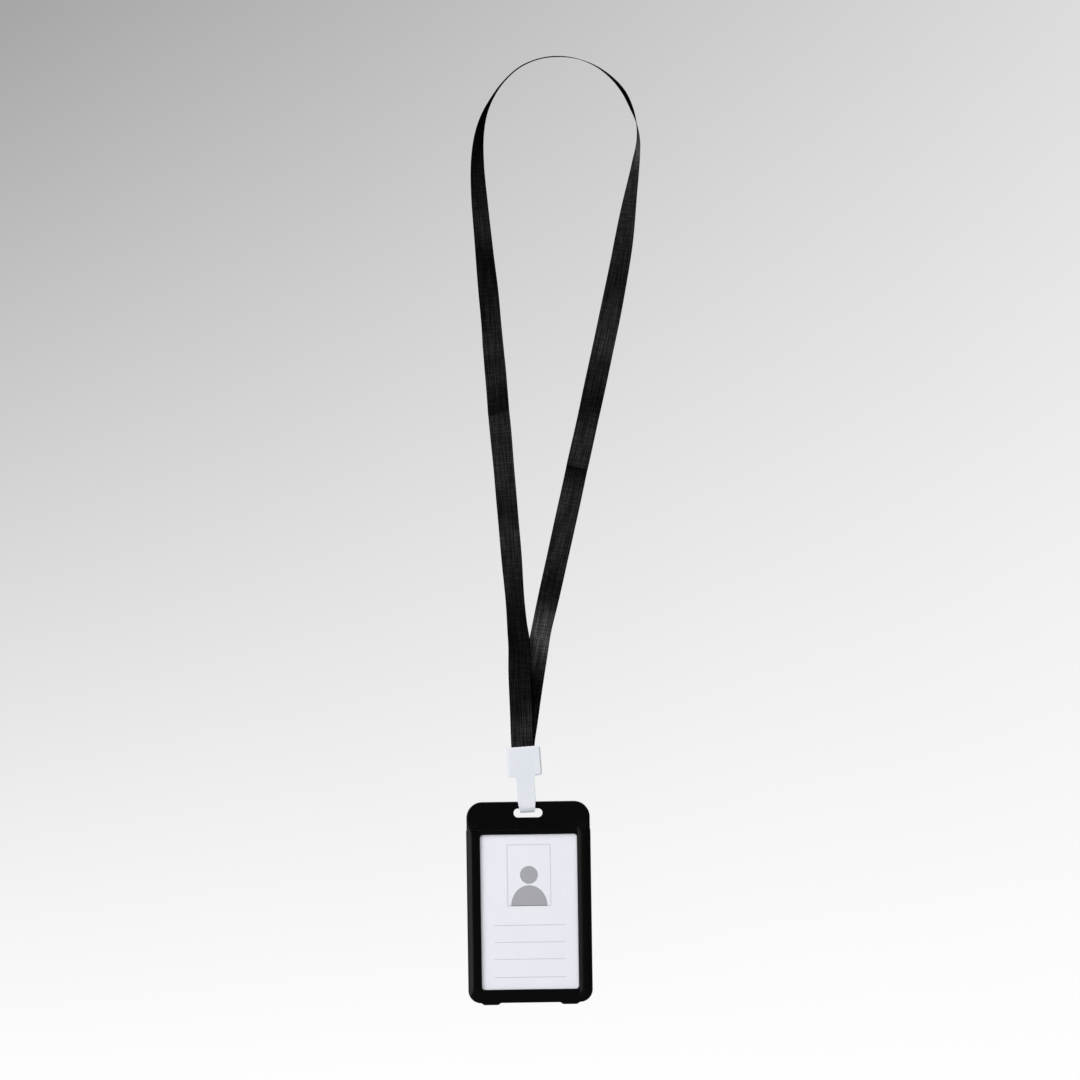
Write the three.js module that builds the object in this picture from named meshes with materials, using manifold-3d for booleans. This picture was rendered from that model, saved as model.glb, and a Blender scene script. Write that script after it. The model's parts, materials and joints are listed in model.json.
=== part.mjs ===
// Lanyard badge holder: a ribbon neck loop, a white two-shell clip whose tongue loops through the case slot,
// and a black card case made of a tray, a sliding front cover, two clear windows and an insert card.
// Millimetres, +Z up, -Y is the front. The origin is the underside of the neck loop at its highest point.
import * as THREE from 'three';
import { mergeVertices } from 'three/addons/utils/BufferGeometryUtils.js';
import Module from 'manifold-3d';

// ---------- driving dimensions ----------

const CLEARANCE = 0.3; // between pieces that rest on each other
const OVERLAP = 0.1; // how far joined solids run into each other
const MARGIN = 1; // how far a cutting solid runs past what it cuts
const BEYOND = 40; // a reach past the case on both sides, for solids that trim it

// Neck ribbon
const RIBBON = { width: 11, thickness: 0.5, stepsPerStretch: 2 };

// Case, measured from the middle of the bar above the slot
const CASE = {
  barX: -20.3, // middle of the bar in the part's frame
  barZ: -374.85,
  halfWidth: 31.2,
  top: 1.75,
  bottom: -100.1, // underside of the feet
  topCorner: 8,
  bottomCorner: 6.4,
  frontPlain: -1.95, // front face level away from the rails
  frontRidge: -2.9, // top of the side rails
  ridgeX: 28.0,
  back: 2.7,
};
const SLOT = { length: 14.4, height: 4.45 };
const BAR = { thickness: 3, height: 3.5, rim: 0.5, rimStart: 0.15 };
const BLOCK = { bottom: -12.1, halfWidth: 30.95, back: 2.6 };
const WINDOW = { halfWidth: 24.3, top: -14.75, bottom: -92.4, corner: 1.5 };
const FOOT = { outerX: 22.5, innerX: 16.3, notchX: 15, notchHeight: 1 };
const CARD = { width: 54, height: 85.6, thickness: 0.76, corner: 3.18, front: -0.9 };
const FILM = { halfWidth: 27, thickness: 0.25, rearThickness: 0.2, corner: 1, inset: 1.2, gap: 0.05 };
const COVER = {
  top: -12.4,
  wall: 1.3,
  ceiling: -1.3, // rear face of the front frame
  lipFront: 1.65,
  lipInnerX: 26.6,
  backLipTop: -95.5,
  footRise: 9, // above the feet, where the rails start to sink
  footFlat: 3, // and where they reach the plain level
};
const SLOT_FOOT = CASE.top - BAR.height - SLOT.height;
const SHOULDER_BOTTOM = -15.5; // where the side rails reach full height
const TRAY = {
  front: 0.2,
  railBack: 1.5,
  panelBack: 2.6,
  halfWidth: 29.45,
  panelHalfWidth: 26.2,
  panelCorner: 0.6,
};

// Clip, measured from the same bar and turned with the clip
const CLIP = {
  barX: -20.74,
  tilt: THREE.MathUtils.degToRad(-3.45),
  halfWidth: 8.75,
  bottom: 14.55,
  top: 29.35,
  corner: 1.5,
  bevel: 0.8,
  wall: 1.65,
  faceWall: 1.2,
  front: -3.9,
  seam: 0.9, // rear face of the front shell
  back: 2.5,
};
const MOUTH = { halfWidth: 6.3, front: -2 };
const GRIP = { front: -1.55, back: 0.35, depth: 0.7, height: 1, pitch: 3.2, first: 18.6, count: 3 };
const TONGUE = { inner: 2.8, outer: 3.9, halfWidth: 4.6, neckHalfWidth: 3.65, neckTop: 2.9 };
const FLAP = { bottom: 0.3, studZ: 19.6, hole: 2.1, gripHeight: 1.4, gripDepth: 0.6, gripInset: 0.6 };
const STUD = { radius: 1.5, head: 1.8, headStart: 4.2, end: 4.9, chamfer: 0.3 };

const MATERIALS = {
  ribbon: { color: 0x121212, roughness: 0.85, metalness: 0 },
  whitePlastic: { color: 0xe0e4ec, roughness: 0.4, metalness: 0 },
  blackPlastic: { color: 0x0c0c0c, roughness: 0.45, metalness: 0 },
  film: { color: 0xf2f4f8, roughness: 0.1, metalness: 0 },
  card: { color: 0xe8e9f1, roughness: 0.6, metalness: 0 },
};

// ---------- solids ----------

const wasm = await Module();
wasm.setup();

function toSolid(geometry) {
  const bare = geometry.index ? geometry.toNonIndexed() : geometry.clone();
  bare.deleteAttribute('normal');
  bare.deleteAttribute('uv');
  const merged = mergeVertices(bare, 1e-4);
  return new wasm.Manifold(new wasm.Mesh({
    numProp: 3,
    vertProperties: new Float32Array(merged.attributes.position.array),
    triVerts: new Uint32Array(merged.index.array),
  }));
}

function toGeometry(solid) {
  const mesh = solid.getMesh();
  const geometry = new THREE.BufferGeometry();
  geometry.setAttribute('position', new THREE.BufferAttribute(new Float32Array(mesh.vertProperties), 3));
  geometry.setIndex(new THREE.BufferAttribute(new Uint32Array(mesh.triVerts), 1));
  geometry.computeVertexNormals();
  return geometry;
}

// A box between two corners.
function block([x0, x1], [y0, y1], [z0, z1]) {
  const geometry = new THREE.BoxGeometry(x1 - x0, y1 - y0, z1 - z0);
  geometry.translate((x0 + x1) / 2, (y0 + y1) / 2, (z0 + z1) / 2);
  return toSolid(geometry);
}

// A front outline (drawn in X and Z) given depth from y0 back to y1; a bevel rounds its front rim.
function plate(shape, [y0, y1], { bevel = 0, curveSegments = 10 } = {}) {
  const rounding = {
    bevelEnabled: bevel > 0,
    bevelThickness: bevel,
    bevelSize: bevel,
    bevelOffset: -bevel,
    bevelSegments: 3,
  };
  const geometry = new THREE.ExtrudeGeometry(shape, { depth: y1 - y0 - bevel, curveSegments, ...rounding });
  geometry.rotateX(Math.PI / 2);
  geometry.translate(0, y1, 0);
  const solid = toSolid(geometry);
  if (bevel === 0) return solid;
  geometry.computeBoundingBox();
  const { min, max } = geometry.boundingBox;
  const behind = [y1, y1 + bevel + MARGIN];
  return solid.subtract(block([min.x - MARGIN, max.x + MARGIN], behind, [min.z - MARGIN, max.z + MARGIN]));
}

// A side outline (drawn in Y and Z) drawn out along X.
function prismAlongX(shape, [x0, x1], curveSegments = 24) {
  const geometry = new THREE.ExtrudeGeometry(shape, { depth: x1 - x0, bevelEnabled: false, curveSegments });
  geometry.applyMatrix4(new THREE.Matrix4().set(0, 0, 1, x0, 1, 0, 0, 0, 0, 1, 0, 0, 0, 0, 0, 1));
  return toSolid(geometry);
}

// A section (drawn in X and Y) drawn out along Z.
function prismAlongZ(shape, [z0, z1]) {
  const geometry = new THREE.ExtrudeGeometry(shape, { depth: z1 - z0, bevelEnabled: false });
  geometry.translate(0, 0, z0);
  return toSolid(geometry);
}

function shapeFrom(points) {
  return new THREE.Shape(points.map(([a, b]) => new THREE.Vector2(a, b)));
}

// A rectangle with rounded corners, between x -+halfWidth and two heights.
function roundedRectangle(halfWidth, bottom, top, radius) {
  const shape = new THREE.Shape();
  shape.moveTo(-halfWidth + radius, bottom);
  shape.lineTo(halfWidth - radius, bottom);
  shape.absarc(halfWidth - radius, bottom + radius, radius, -Math.PI / 2, 0);
  shape.lineTo(halfWidth, top - radius);
  shape.absarc(halfWidth - radius, top - radius, radius, 0, Math.PI / 2);
  shape.lineTo(-halfWidth + radius, top);
  shape.absarc(-halfWidth + radius, top - radius, radius, Math.PI / 2, Math.PI);
  shape.lineTo(-halfWidth, bottom + radius);
  shape.absarc(-halfWidth + radius, bottom + radius, radius, Math.PI, Math.PI * 1.5);
  return shape;
}

// ---------- neck ribbon ----------

// The ribbon's middle line from the front end in the clip, up the left leg, over the neck and down the
// right leg to the rear end: x, y, z, and its twist in degrees. At 0 its face looks outwards from the loop,
// at -90 its outer face looks to the back. Both legs turn that way: the loop is joined with a half turn.
const RIBBON_ROUTE = [
  [-22.0, -1.0, -356.9, -90],
  [-22.7, -1.0, -345.4, -90],
  [-23.1, -1.0, -328, -90],
  [-23.6, -1.1, -308, -88],
  [-23.5, -1.2, -294, -86],
  [-24.4, -1.2, -284, -66],
  [-25.2, -1.2, -272, -60],
  [-26.9, -1.0, -247, -68],
  [-32.3, -0.5, -171.5, -77],
  [-36.0, -0.2, -121, -65],
  [-38.1, 0, -96, -55],
  [-40.1, 0, -71, -46],
  [-40.8, 0, -52, -37],
  [-39.9, 0, -39.5, -25],
  [-37.6, 0, -30, -14],
  [-34.0, 0, -22, -6],
  [-28.0, 0, -13, -2],
  [-19.6, 0, -5.2, 0.5],
  [-10, 0, -1, 2],
  [0, 0, 0.25, 1],
  [10, 0, -1, 2],
  [19.5, 0, -4.9, 5],
  [27.5, 0, -11.2, 9.5],
  [33.0, 0, -18, 11.5],
  [36.8, 0, -26, 8.5],
  [39.4, 0, -34.5, 0],
  [40.0, 0, -43, -8],
  [38.8, 0, -52, -18],
  [35.4, 0, -72, -38],
  [31.2, 0, -97, -60],
  [26.2, 0, -122, -75],
  [14.9, 0.2, -172, -80],
  [3.2, 0.3, -222, -80],
  [-8.6, 0.5, -272, -80],
  [-12.6, 0.6, -289, -82],
  [-16.9, 0.5, -312, -86],
  [-20.2, 0.1, -333, -90],
  [-22.0, -0.2, -345.5, -90],
  [-21.4, -0.2, -356.9, -90],
];

// A flat band swept along the route, turned about it by the twist.
function ribbonGeometry() {
  const middle = new THREE.CatmullRomCurve3(RIBBON_ROUTE.map(([x, y, z]) => new THREE.Vector3(x, y, z)));
  const twist = new THREE.SplineCurve(RIBBON_ROUTE.map(([, , , turn], i) => new THREE.Vector2(i, turn)));
  const rings = (RIBBON_ROUTE.length - 1) * RIBBON.stepsPerStretch;
  const towardsViewer = new THREE.Vector3(0, -1, 0);
  const positions = [];
  const triangles = [];
  for (let ring = 0; ring <= rings; ring++) {
    const t = ring / rings;
    const centre = middle.getPoint(t);
    const tangent = middle.getTangent(t);
    const outward = new THREE.Vector3(-tangent.z, 0, tangent.x).normalize();
    const angle = THREE.MathUtils.degToRad(twist.getPoint(t).y);
    const [cosine, sine] = [Math.cos(angle), Math.sin(angle)];
    const face = outward.clone().multiplyScalar(cosine).addScaledVector(towardsViewer, sine);
    const across = outward.clone().multiplyScalar(-sine).addScaledVector(towardsViewer, cosine);
    for (const [side, depth] of [[-1, -1], [1, -1], [1, 1], [-1, 1]]) {
      const corner = centre.clone();
      corner.addScaledVector(across, side * RIBBON.width / 2);
      corner.addScaledVector(face, depth * RIBBON.thickness / 2);
      positions.push(corner.x, corner.y, corner.z);
    }
  }
  for (let ring = 0; ring < rings; ring++) {
    for (let corner = 0; corner < 4; corner++) {
      const a = ring * 4 + corner;
      const b = ring * 4 + (corner + 1) % 4;
      // Both broad faces split along the same diagonal, so the twisted band keeps its thickness.
      if (corner === 2) triangles.push(a, a + 4, b, b, a + 4, b + 4);
      else triangles.push(a, b + 4, b, a, a + 4, b + 4);
    }
  }
  const last = rings * 4;
  triangles.push(0, 1, 2, 0, 2, 3, last, last + 2, last + 1, last, last + 3, last + 2);
  const geometry = new THREE.BufferGeometry();
  geometry.setAttribute('position', new THREE.Float32BufferAttribute(positions, 3));
  geometry.setIndex(triangles);
  geometry.computeVertexNormals();
  return geometry;
}

// ---------- clip, in its own turned frame ----------

function clipOutline() {
  return roundedRectangle(CLIP.halfWidth, CLIP.bottom, CLIP.top, CLIP.corner);
}

// Half the tongue's width at a height: narrow round the bend, full width above it.
function tongueHalfWidth(z) {
  const { outer, halfWidth, neckHalfWidth, neckTop } = TONGUE;
  const rise = THREE.MathUtils.clamp((z + outer) / (neckTop + outer), 0, 1);
  return THREE.MathUtils.lerp(neckHalfWidth, halfWidth, rise);
}

// The front leg and the bend: a J in side view, narrowed round the bend.
function tongueSolid() {
  const { inner, outer } = TONGUE;
  const legTop = CLIP.bottom + CLIP.wall;
  const side = new THREE.Shape();
  side.moveTo(-outer, legTop);
  side.lineTo(-outer, TONGUE.neckTop);
  side.lineTo(-outer, 0);
  side.absarc(0, 0, outer, Math.PI, Math.PI * 2, false);
  side.lineTo(inner, 0);
  side.absarc(0, 0, inner, Math.PI * 2, Math.PI, true);
  side.lineTo(-inner, TONGUE.neckTop);
  side.lineTo(-inner, legTop);
  const geometry = new THREE.ExtrudeGeometry(side, { depth: 2, bevelEnabled: false, curveSegments: 14 });
  geometry.applyMatrix4(new THREE.Matrix4().set(0, 0, 1, -1, 1, 0, 0, 0, 0, 1, 0, 0, 0, 0, 0, 1));
  const position = geometry.attributes.position;
  for (let i = 0; i < position.count; i++) {
    position.setX(i, position.getX(i) * tongueHalfWidth(position.getZ(i)));
  }
  return toSolid(geometry);
}

function gripTooth(index, [y0, y1]) {
  const z = GRIP.first + index * GRIP.pitch;
  return block([-MOUTH.halfWidth, MOUTH.halfWidth], [y0, y1], [z, z + GRIP.height]);
}

function clipFrontShell() {
  const { halfWidth, bottom, top, wall, front, seam } = CLIP;
  const floor = front + CLIP.faceWall;
  const reach = seam + MARGIN;
  const cavityHalfWidth = halfWidth - wall;
  let shell = plate(clipOutline(), [front, seam], { bevel: CLIP.bevel });
  const cavityHeights = [bottom + wall, top - wall];
  shell = shell.subtract(block([-cavityHalfWidth, cavityHalfWidth], [floor, reach], cavityHeights));
  const mouthHeights = [top - wall - MARGIN, top + MARGIN];
  shell = shell.subtract(block([-MOUTH.halfWidth, MOUTH.halfWidth], [MOUTH.front, reach], mouthHeights));
  for (let i = 0; i < GRIP.count; i++) shell = shell.add(gripTooth(i, [floor - OVERLAP, GRIP.front]));
  return shell.add(tongueSolid());
}

function clipRearShell() {
  const { halfWidth, bottom, top, wall, seam, back } = CLIP;
  const lidFront = seam + CLEARANCE;
  const plugHalfWidth = halfWidth - wall - CLEARANCE;
  const plugHeights = [bottom + wall + CLEARANCE, top - wall - CLEARANCE];
  const plugDepths = [GRIP.back + GRIP.depth, lidFront + OVERLAP];
  let shell = plate(clipOutline(), [lidFront, back]);
  shell = shell.add(block([-plugHalfWidth, plugHalfWidth], plugDepths, plugHeights));
  for (let i = 0; i < GRIP.count; i++) shell = shell.add(gripTooth(i + 0.5, [GRIP.back, lidFront]));
  return shell.add(studSolid());
}

// The snap stud behind the lid: a short shaft with a wider head.
function studSolid() {
  const { radius, head, headStart, end, chamfer } = STUD;
  const base = CLIP.back - OVERLAP;
  const profile = [
    [0, base],
    [radius, base],
    [radius, headStart - chamfer],
    [head, headStart],
    [head, end - chamfer],
    [head - chamfer, end],
    [0, end],
  ];
  const geometry = new THREE.LatheGeometry(profile.map(([r, y]) => new THREE.Vector2(r, y)), 28);
  geometry.translate(0, 0, FLAP.studZ);
  return toSolid(geometry);
}

// The rear leg: flat, with a round top, the snap hole and a raised finger grip at its end.
function tongueFlap() {
  const { inner, outer, halfWidth, neckTop } = TONGUE;
  const start = tongueHalfWidth(FLAP.bottom);
  const outline = new THREE.Shape();
  outline.moveTo(-start, FLAP.bottom);
  outline.lineTo(start, FLAP.bottom);
  outline.lineTo(halfWidth, neckTop);
  outline.lineTo(halfWidth, FLAP.studZ);
  outline.absarc(0, FLAP.studZ, halfWidth, 0, Math.PI);
  outline.lineTo(-halfWidth, neckTop);
  const leg = plate(outline, [inner, outer]);
  const gripTop = FLAP.studZ + halfWidth - FLAP.gripInset;
  const gripDepths = [outer - OVERLAP, outer + FLAP.gripDepth];
  const grip = block([-halfWidth, halfWidth], gripDepths, [gripTop - FLAP.gripHeight, gripTop]);
  const hole = new THREE.CylinderGeometry(FLAP.hole, FLAP.hole, outer, 28);
  hole.translate(0, outer, FLAP.studZ);
  const reach = plate(outline, [inner, outer + FLAP.gripDepth]);
  return leg.add(grip.intersect(reach)).subtract(toSolid(hole));
}

// ---------- case, measured from the middle of its bar ----------

// The case outline up to a given top, moved inwards by an inset at its foot; only the full outline has feet.
function caseOutline(halfWidth, top, inset, topCorner) {
  const { bottom, bottomCorner } = CASE;
  const floor = bottom + FOOT.notchHeight + inset;
  const cornerX = CASE.halfWidth - bottomCorner;
  const cornerZ = bottom + FOOT.notchHeight + bottomCorner;
  const radius = bottomCorner - inset;
  const shape = new THREE.Shape();
  shape.moveTo(-cornerX, floor);
  if (inset === 0) {
    shape.lineTo(-FOOT.outerX, bottom);
    shape.lineTo(-FOOT.innerX, bottom);
    shape.lineTo(-FOOT.notchX, floor);
    shape.lineTo(FOOT.notchX, floor);
    shape.lineTo(FOOT.innerX, bottom);
    shape.lineTo(FOOT.outerX, bottom);
  }
  shape.lineTo(cornerX, floor);
  shape.absarc(cornerX, cornerZ, radius, -Math.PI / 2, 0);
  shape.lineTo(halfWidth, top - topCorner);
  if (topCorner > 0) shape.absarc(halfWidth - topCorner, top - topCorner, topCorner, 0, Math.PI / 2);
  shape.lineTo(-halfWidth + topCorner, top);
  if (topCorner > 0) shape.absarc(-halfWidth + topCorner, top - topCorner, topCorner, Math.PI / 2, Math.PI);
  shape.lineTo(-halfWidth, cornerZ);
  shape.absarc(-cornerX, cornerZ, radius, Math.PI, Math.PI * 1.5);
  return shape;
}

function slotShape() {
  const radius = SLOT.height / 2;
  const reach = SLOT.length / 2 - radius;
  const z = CASE.top - BAR.height - radius;
  const shape = new THREE.Shape();
  shape.moveTo(-reach, z - radius);
  shape.lineTo(reach, z - radius);
  shape.absarc(reach, z, radius, -Math.PI / 2, Math.PI / 2);
  shape.lineTo(-reach, z + radius);
  shape.absarc(-reach, z, radius, Math.PI / 2, Math.PI * 1.5);
  return shape;
}

function windowShape() {
  return roundedRectangle(WINDOW.halfWidth, WINDOW.bottom, WINDOW.top, WINDOW.corner);
}

// The section across the case: a crowned rail on each side of the plain middle.
function caseSection(halfWidth, back) {
  const { frontPlain, frontRidge, ridgeX } = CASE;
  const half = [
    [WINDOW.halfWidth + 0.3, frontPlain],
    [ridgeX - 0.3, frontRidge + 0.06],
    [ridgeX, frontRidge],
    [ridgeX + 0.3, frontRidge + 0.06],
    [halfWidth - 0.7, frontPlain + 0.25],
    [halfWidth - 0.2, frontPlain + 0.65],
    [halfWidth, frontPlain + 1.05],
    [halfWidth, back - 0.7],
    [halfWidth - 0.2, back - 0.2],
    [halfWidth - 0.7, back],
  ];
  const mirrored = half.map(([x, y]) => [-x, y]).reverse();
  return shapeFrom([...half, ...mirrored]);
}

// A soft step between two levels: points [level, z] from z0 down to z1.
function softStep([level0, z0], [level1, z1], steps = 8) {
  return Array.from({ length: steps + 1 }, (_, i) => {
    const rise = (1 - Math.cos(i / steps * Math.PI)) / 2;
    return [THREE.MathUtils.lerp(level0, level1, rise), THREE.MathUtils.lerp(z0, z1, i / steps)];
  });
}

// The front in side view from the slot's foot down to full rail height; both block and cover are cut to it.
function shoulderFront() {
  return softStep([-BAR.thickness / 2, SLOT_FOOT], [CASE.frontRidge, SHOULDER_BOTTOM], 10);
}

// The block above the windows: thin at the bar, thicker where the cover meets it.
function topBlock() {
  const { top, topCorner } = CASE;
  const { bottom, halfWidth, back } = BLOCK;
  const outline = new THREE.Shape();
  outline.moveTo(-halfWidth, bottom);
  outline.lineTo(halfWidth, bottom);
  outline.lineTo(halfWidth, top - topCorner);
  outline.absarc(halfWidth - topCorner, top - topCorner, topCorner, 0, Math.PI / 2);
  outline.lineTo(-halfWidth + topCorner, top);
  outline.absarc(-halfWidth + topCorner, top - topCorner, topCorner, Math.PI / 2, Math.PI);
  const half = BAR.thickness / 2;
  const { rim, rimStart } = BAR;
  const rearStep = softStep([half, SLOT_FOOT], [back, bottom + MARGIN], 8);
  const side = shapeFrom([
    [back, SHOULDER_BOTTOM - MARGIN],
    ...rearStep.reverse(),
    [half, top - rim],
    [half - rimStart, top - rimStart],
    [half - rim, top],
    [-half + rim, top],
    [-half + rimStart, top - rimStart],
    [-half, top - rim],
    ...shoulderFront(),
    [CASE.frontRidge, SHOULDER_BOTTOM - MARGIN],
  ]);
  return plate(outline, [-BEYOND, BEYOND], { curveSegments: 16 })
    .intersect(prismAlongX(side, [-BEYOND, BEYOND]))
    .intersect(prismAlongZ(caseSection(halfWidth, back), [bottom - MARGIN, top + MARGIN]))
    .subtract(plate(slotShape(), [-BEYOND, BEYOND]));
}

const CARD_TOP = (WINDOW.top + WINDOW.bottom) / 2 + CARD.height / 2;
const CARD_BOTTOM = CARD_TOP - CARD.height;
const RIB = { innerX: CARD.width / 2 + 0.2, outerX: 28.6, front: -0.95 };
const LEDGE = { halfWidth: 20, height: 0.6, gap: 0.15 };

// The rear part: the block, a flat plate behind the card, a panel that fills the cover's rear opening,
// ribs and a ledge round the card, and a shallow seat for the rear window.
function caseTray() {
  const { front, railBack, panelBack, halfWidth, panelHalfWidth, panelCorner } = TRAY;
  const rimInset = CASE.halfWidth - halfWidth;
  const trayTop = BLOCK.bottom + OVERLAP;
  const panelBottom = COVER.backLipTop + CLEARANCE;
  const rails = plate(caseOutline(halfWidth, trayTop, rimInset, 0), [front, railBack]);
  const panelOutline = roundedRectangle(panelHalfWidth, panelBottom, trayTop, panelCorner);
  const panel = plate(panelOutline, [railBack - OVERLAP, panelBack]);
  const pocketHeights = [BLOCK.bottom - MARGIN, CARD_TOP + LEDGE.gap];
  const pocket = block([-RIB.innerX, RIB.innerX], [RIB.front, front], pocketHeights);
  let tray = topBlock().add(rails).add(panel);
  tray = tray.subtract(pocket).subtract(plate(windowShape(), [front - MARGIN, panelBack + MARGIN]));
  for (const side of [-1, 1]) {
    const xs = [side * RIB.innerX, side * RIB.outerX].sort((a, b) => a - b);
    tray = tray.add(block(xs, [RIB.front, front + OVERLAP], [WINDOW.bottom, trayTop]));
  }
  const ledgeTop = CARD_BOTTOM - LEDGE.gap;
  const ledgeWidth = [-LEDGE.halfWidth, LEDGE.halfWidth];
  tray = tray.add(block(ledgeWidth, [RIB.front, front + OVERLAP], [ledgeTop - LEDGE.height, ledgeTop]));
  const seatBottom = CARD_BOTTOM + FILM.inset - CLEARANCE;
  const seatTop = CARD_TOP - FILM.inset + CLEARANCE;
  const seatOutline = roundedRectangle(FILM.halfWidth + OVERLAP, seatBottom, seatTop, FILM.corner);
  return tray.subtract(plate(seatOutline, [front - MARGIN, front + CLEARANCE]));
}

// The cover in side view: its rails carry on from the block and sink to the plain level at the foot.
function coverSide() {
  const { bottom, frontPlain, frontRidge, back } = CASE;
  const above = COVER.top + MARGIN * 4;
  return shapeFrom([
    [frontRidge, SHOULDER_BOTTOM - MARGIN],
    ...softStep([frontRidge, bottom + COVER.footRise], [frontPlain, bottom + COVER.footFlat], 8),
    [frontPlain + 0.15, bottom + 1],
    [frontPlain + 0.5, bottom + 0.3],
    [frontPlain + 1, bottom],
    [back - 0.6, bottom],
    [back - 0.15, bottom + 0.15],
    [back, bottom + 0.6],
    [back, above],
    [-BAR.thickness / 2, above],
    ...shoulderFront(),
  ]);
}

// The sliding front: a frame round the window with a wall and a rear lip on three sides, open at the top.
function frontCover() {
  const { top, wall, ceiling, lipFront, lipInnerX, backLipTop } = COVER;
  const { halfWidth, back } = CASE;
  const innerHalfWidth = halfWidth - wall;
  const outer = plate(caseOutline(halfWidth, top, 0, 0), [-BEYOND, BEYOND])
    .intersect(prismAlongX(coverSide(), [-BEYOND, BEYOND]))
    .intersect(prismAlongZ(caseSection(halfWidth, back), [CASE.bottom - MARGIN, top + MARGIN]));
  const channel = plate(caseOutline(innerHalfWidth, top + MARGIN, wall, 0), [ceiling, lipFront]);
  const openingOutline = roundedRectangle(lipInnerX, backLipTop, top + 3 * MARGIN, 1);
  const backOpening = plate(openingOutline, [lipFront - OVERLAP, back + MARGIN]);
  return outer.subtract(channel).subtract(backOpening).subtract(plate(windowShape(), [-BEYOND, BEYOND]));
}

function filmOutline(halfWidth, top) {
  return roundedRectangle(halfWidth, CARD_BOTTOM + FILM.inset, top, FILM.corner);
}

function frontWindow() {
  const front = COVER.ceiling + FILM.gap;
  return plate(filmOutline(FILM.halfWidth, COVER.top - FILM.inset / 2), [front, front + FILM.thickness]);
}

function rearWindow() {
  const front = TRAY.front + FILM.gap;
  const outline = filmOutline(FILM.halfWidth - OVERLAP, CARD_TOP - FILM.inset);
  return plate(outline, [front, front + FILM.rearThickness]);
}

function idCard() {
  const outline = roundedRectangle(CARD.width / 2, CARD_BOTTOM, CARD_TOP, CARD.corner);
  return plate(outline, [CARD.front, CARD.front + CARD.thickness]);
}

// ---------- assembly ----------

function node(name, geometry, look) {
  const mesh = new THREE.Mesh(geometry, new THREE.MeshStandardMaterial(look));
  mesh.name = name;
  return mesh;
}

const group = new THREE.Group();
group.add(node('strap', ribbonGeometry(), MATERIALS.ribbon));

const clip = new THREE.Group();
clip.position.set(CLIP.barX, 0, CASE.barZ);
clip.rotation.y = CLIP.tilt;
clip.add(node('clip_front_shell', toGeometry(clipFrontShell()), MATERIALS.whitePlastic));
clip.add(node('clip_rear_shell', toGeometry(clipRearShell()), MATERIALS.whitePlastic));
clip.add(node('tongue_flap', toGeometry(tongueFlap()), MATERIALS.whitePlastic));
group.add(clip);

const badgeCase = new THREE.Group();
badgeCase.position.set(CASE.barX, 0, CASE.barZ);
badgeCase.add(node('case_tray', toGeometry(caseTray()), MATERIALS.blackPlastic));
badgeCase.add(node('front_cover', toGeometry(frontCover()), MATERIALS.blackPlastic));
badgeCase.add(node('front_window', toGeometry(frontWindow()), MATERIALS.film));
badgeCase.add(node('rear_window', toGeometry(rearWindow()), MATERIALS.film));
badgeCase.add(node('id_card', toGeometry(idCard()), MATERIALS.card));
group.add(badgeCase);

export default group;
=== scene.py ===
"""Lanyard badge holder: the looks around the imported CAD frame. Metres, +Z up, -Y is the front."""
import json
import math

import bpy
import bmesh
import numpy as np
from mathutils import Matrix, Vector


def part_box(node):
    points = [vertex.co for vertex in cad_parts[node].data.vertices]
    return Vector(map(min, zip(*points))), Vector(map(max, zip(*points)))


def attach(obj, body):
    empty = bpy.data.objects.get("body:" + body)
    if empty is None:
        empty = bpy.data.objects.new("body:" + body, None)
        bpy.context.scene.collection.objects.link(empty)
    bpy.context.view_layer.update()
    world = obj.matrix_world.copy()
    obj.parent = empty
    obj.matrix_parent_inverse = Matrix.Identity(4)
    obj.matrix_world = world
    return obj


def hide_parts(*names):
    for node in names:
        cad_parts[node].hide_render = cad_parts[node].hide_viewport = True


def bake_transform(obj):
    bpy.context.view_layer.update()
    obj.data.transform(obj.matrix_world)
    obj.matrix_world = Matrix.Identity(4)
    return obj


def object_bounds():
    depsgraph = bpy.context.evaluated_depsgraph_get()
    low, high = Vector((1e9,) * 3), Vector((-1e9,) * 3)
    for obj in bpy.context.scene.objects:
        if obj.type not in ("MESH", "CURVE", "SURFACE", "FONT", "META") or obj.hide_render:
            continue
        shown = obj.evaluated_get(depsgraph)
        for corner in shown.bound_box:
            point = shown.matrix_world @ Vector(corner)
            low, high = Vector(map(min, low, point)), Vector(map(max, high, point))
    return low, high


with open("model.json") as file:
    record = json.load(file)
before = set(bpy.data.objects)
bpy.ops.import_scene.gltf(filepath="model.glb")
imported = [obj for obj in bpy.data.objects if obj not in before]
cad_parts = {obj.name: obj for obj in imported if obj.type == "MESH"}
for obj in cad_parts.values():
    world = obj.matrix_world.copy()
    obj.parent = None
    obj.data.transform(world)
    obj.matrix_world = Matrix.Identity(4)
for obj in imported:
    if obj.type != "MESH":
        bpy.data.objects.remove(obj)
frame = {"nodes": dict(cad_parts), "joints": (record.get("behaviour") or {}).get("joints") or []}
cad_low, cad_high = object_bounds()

MM = 0.001


# ---------- places taken from the frame ----------

def joint(name):
    return next(j for j in frame["joints"] if j["name"] == name)


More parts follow.
